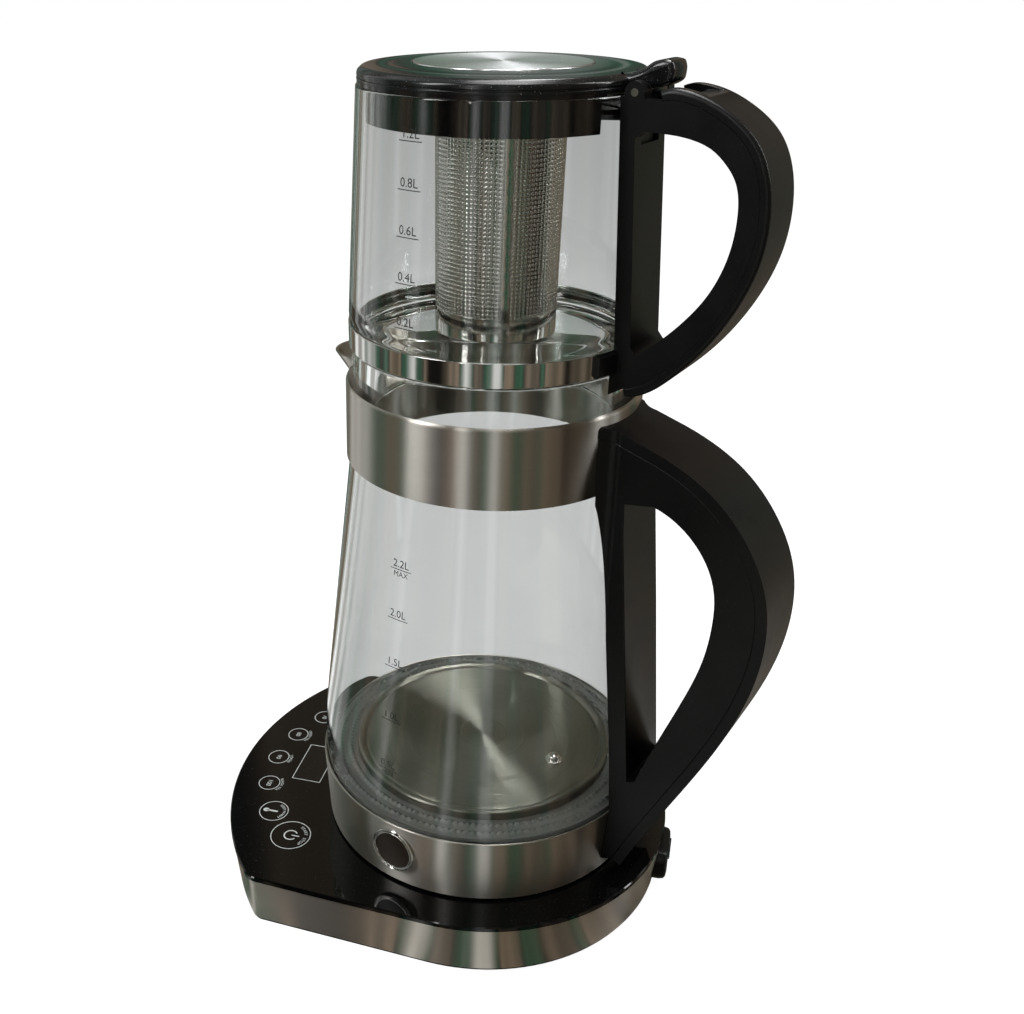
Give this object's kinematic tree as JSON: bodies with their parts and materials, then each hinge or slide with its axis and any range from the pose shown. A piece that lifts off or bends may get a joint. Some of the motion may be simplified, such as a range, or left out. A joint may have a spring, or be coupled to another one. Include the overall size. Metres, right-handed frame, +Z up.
{
  "type": "tea maker",
  "caption": "Automatic tea maker: glass kettle with a steel collar on a round base with a touch panel, and a glass teapot with strainer and hinged lid standing in the collar.",
  "frame": {"origin": "middle of the underside of the central rubber foot, on the kettle's axis, on the table", "axes": "+Z up along the kettle's axis; +X towards both handles, away from the pouring lip; -Y towards the kettle's round badge"},
  "size_m": [0.2786, 0.2176, 0.409],
  "materials": {
    "gloss_black": "high gloss black",
    "window_black": "dark tinted, flush",
    "satin_black": "satin black, fine grain",
    "lid_black": "semi-gloss black",
    "rubber_black": "soft matt",
    "steel_brushed": "brushed round the axis",
    "steel_polished": "polished",
    "steel_plain": "zinc plated",
    "badge_black": "dished, dark",
    "aluminium_cast": "cast",
    "glass_clear": "clear, thick",
    "silicone_clear": "clear silicone",
    "board_green": "printed board",
    "module_grey": "moulded"
  },
  "bodies": {
    "base": {"base_panel": "gloss_black", "display_window": "window_black", "base_band": "steel_brushed", "base_shell": "satin_black", "base_foot_1": "rubber_black", "base_foot_2": "rubber_black", "base_foot_3": "rubber_black", "base_foot_4": "rubber_black", "base_foot_5": "rubber_black", "base_screw_1": "steel_plain", "base_screw_2": "steel_plain", "base_screw_3": "steel_plain", "base_screw_4": "steel_plain", "cord_outlet": "satin_black", "cord_grommet": "rubber_black", "control_board": "board_green", "display_module": "module_grey", "base_connector": "satin_black"},
    "swivel": {"connector_swivel": "satin_black"},
    "kettle": {"kettle_ring": "steel_brushed", "badge_bezel": "steel_polished", "badge_face": "badge_black", "kettle_cover": "satin_black", "kettle_socket": "satin_black", "heating_plate": "steel_brushed", "heat_spreader": "aluminium_cast", "heating_element": "aluminium_cast", "temperature_probe": "steel_brushed", "kettle_glass": "glass_clear", "plate_seal": "silicone_clear", "kettle_collar": "steel_brushed", "kettle_handle": "satin_black", "kettle_handle_cover": "satin_black"},
    "teapot": {"teapot_glass": "glass_clear", "teapot_strap": "steel_polished", "strap_bracket": "satin_black", "teapot_saddle": "satin_black", "teapot_handle": "satin_black", "teapot_handle_cover": "satin_black", "hinge_pin": "steel_polished", "rim_hook": "steel_polished", "strainer_holder": "satin_black"},
    "lid": {"lid_shell": "lid_black", "lid_disc": "steel_polished", "lid_liner": "lid_black", "lid_seal": "silicone_clear"},
    "strainer": {"strainer_wall": "steel_polished", "strainer_floor": "steel_polished", "strainer_rim": "steel_polished"}
  },
  "joints": [
    {"name": "kettle_turn", "type": "hinge", "parent": "base", "child": "swivel", "pos_m": [0, 0, 0.0345], "axis": [0, 0, 1], "continuous": true},
    {"name": "kettle_lift", "type": "slide", "parent": "swivel", "child": "kettle", "axis": [0, 0, 1], "range_m": [0, 0.06]},
    {"name": "teapot_lift", "type": "slide", "parent": "kettle", "child": "teapot", "axis": [0, 0, 1], "range_m": [0, 0.05]},
    {"name": "lid_hinge", "type": "hinge", "parent": "teapot", "child": "lid", "pos_m": [0.0645, 0, 0.3975], "axis": [0, 1, 0], "range_deg": [0, 80]},
    {"name": "strainer_turn", "type": "hinge", "parent": "teapot", "child": "strainer", "pos_m": [0, 0, 0.3915], "axis": [0, 0, 1], "continuous": true}
  ]
}
